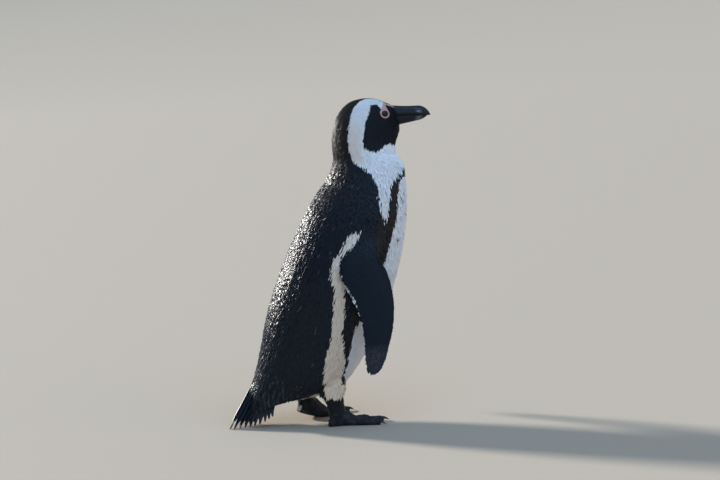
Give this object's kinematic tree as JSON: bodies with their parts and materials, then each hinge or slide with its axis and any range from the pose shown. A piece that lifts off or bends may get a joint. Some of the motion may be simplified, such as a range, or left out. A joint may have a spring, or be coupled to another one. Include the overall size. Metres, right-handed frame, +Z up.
{
  "type": "african penguin model",
  "caption": "Life-size still model of an adult African penguin standing in mid-step, in profile, its tail tip on the floor.",
  "frame": {"origin": "on the floor, under the middle of the bird's box", "axes": "+X the way the bird faces, +Y its left side, +Z up"},
  "size_m": [0.3642, 0.224, 0.5342],
  "materials": {
    "black_plumage": "glossy overlapping feathers",
    "white_plumage": "soft dense feathers",
    "bill_horn": "satin horn with a pale band near the tip",
    "claw_horn": "satin horn",
    "foot_skin": "matt scaly skin",
    "eye": "wet gloss"
  },
  "bodies": {
    "root": {"bill_lower": "bill_horn", "bill_upper": "bill_horn", "claw_left_hind": "claw_horn", "claw_left_inner": "claw_horn", "claw_left_middle": "claw_horn", "claw_left_outer": "claw_horn", "claw_right_hind": "claw_horn", "claw_right_inner": "claw_horn", "claw_right_middle": "claw_horn", "claw_right_outer": "claw_horn", "eye_left": "eye", "eye_right": "eye", "foot_left": "foot_skin", "foot_right": "foot_skin", "head": "white_plumage", "leg_left": "white_plumage", "leg_right": "white_plumage", "neck": "white_plumage", "tail": "black_plumage", "trunk": "black_plumage", "wing_left": "black_plumage", "wing_right": "black_plumage"}
  },
  "joints": []
}
